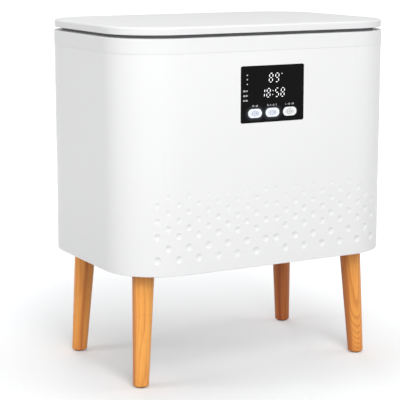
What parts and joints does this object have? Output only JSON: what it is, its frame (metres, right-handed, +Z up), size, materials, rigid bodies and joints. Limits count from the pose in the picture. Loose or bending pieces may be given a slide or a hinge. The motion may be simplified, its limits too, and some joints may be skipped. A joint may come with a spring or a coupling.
{
  "type": "towel warmer bucket",
  "caption": "Rectangular heated towel bucket with a hinged lid, a dark touch-button panel and splayed wooden legs, for warming towels.",
  "frame": {"origin": "on the floor, under the middle of the body", "axes": "+Z up, -Y towards the front with the control panel, +X to the right as seen from the front"},
  "size_m": [0.43, 0.3062, 0.489],
  "materials": {
    "white_plastic": "satin white, very lightly textured",
    "bucket_metal": "satin anodised",
    "dark_rubber": "matt",
    "heater_film": "matt silicone film",
    "foam": "matt felted foam",
    "zinc_steel": "zinc plated",
    "black_window": "polished",
    "button_white": "backlit, satin",
    "inner_plastic": "matt",
    "circuit_board": "solder mask",
    "lamp_white": "diffused",
    "component_black": "matt",
    "ribbon_grey": "matt",
    "oiled_wood": "oiled, open grain"
  },
  "bodies": {
    "chassis": {"outer_shell": "white_plastic", "rim_collar": "white_plastic", "inner_bucket": "bucket_metal", "rim_gasket": "dark_rubber", "foot_pad_front_left": "dark_rubber", "foot_pad_front_right": "dark_rubber", "foot_pad_rear_left": "dark_rubber", "foot_pad_rear_right": "dark_rubber", "cord_gland": "dark_rubber", "heater_wrap": "heater_film", "insulation_wrap": "foam", "hinge_bracket_left": "zinc_steel", "hinge_bracket_right": "zinc_steel", "hinge_pin_left": "zinc_steel", "hinge_pin_right": "zinc_steel", "bracket_screws": "zinc_steel", "panel_screws": "zinc_steel", "base_screws": "zinc_steel", "leg_bolts": "zinc_steel", "leg_nuts": "zinc_steel", "leg_plate_screws": "zinc_steel", "power_board_screws": "zinc_steel", "thermostat": "zinc_steel", "leg_plate_front_left": "zinc_steel", "leg_plate_front_right": "zinc_steel", "leg_plate_rear_left": "zinc_steel", "leg_plate_rear_right": "zinc_steel", "display_window": "black_window", "panel_carrier": "inner_plastic", "base_plate": "inner_plastic", "digit_module": "inner_plastic", "display_board": "circuit_board", "power_board": "circuit_board", "indicator_lamps": "lamp_white", "tact_switches": "component_black", "power_transformer": "component_black", "power_relay": "component_black", "board_connectors": "component_black", "inner_lead": "component_black", "thermal_fuse": "component_black", "panel_ribbon": "ribbon_grey", "leg_front_left": "oiled_wood", "leg_front_right": "oiled_wood", "leg_rear_left": "oiled_wood", "leg_rear_right": "oiled_wood"},
    "lid": {"lid_cover": "white_plastic", "lid_liner": "white_plastic", "lid_insulation": "foam", "lid_screws": "zinc_steel", "leaf_screws": "zinc_steel", "hinge_leaf_left": "zinc_steel", "hinge_leaf_right": "zinc_steel"},
    "timer_button": {"timer_button": "button_white"},
    "power_button": {"power_button": "button_white"},
    "delay_button": {"delay_button": "button_white"}
  },
  "joints": [
    {"name": "lid_hinge", "type": "hinge", "parent": "chassis", "child": "lid", "pos_m": [0, 0.1515, 0.47625], "axis": [-1, 0, 0], "range_deg": [0, 100]},
    {"name": "timer_button_press", "type": "slide", "parent": "chassis", "child": "timer_button", "axis": [0, 1, 0], "range_m": [0, 0.001], "stiffness_N_per_m": 900, "springref_m": -0.0006},
    {"name": "power_button_press", "type": "slide", "parent": "chassis", "child": "power_button", "axis": [0, 1, 0], "range_m": [0, 0.001], "stiffness_N_per_m": 900, "springref_m": -0.0006},
    {"name": "delay_button_press", "type": "slide", "parent": "chassis", "child": "delay_button", "axis": [0, 1, 0], "range_m": [0, 0.001], "stiffness_N_per_m": 900, "springref_m": -0.0006}
  ]
}
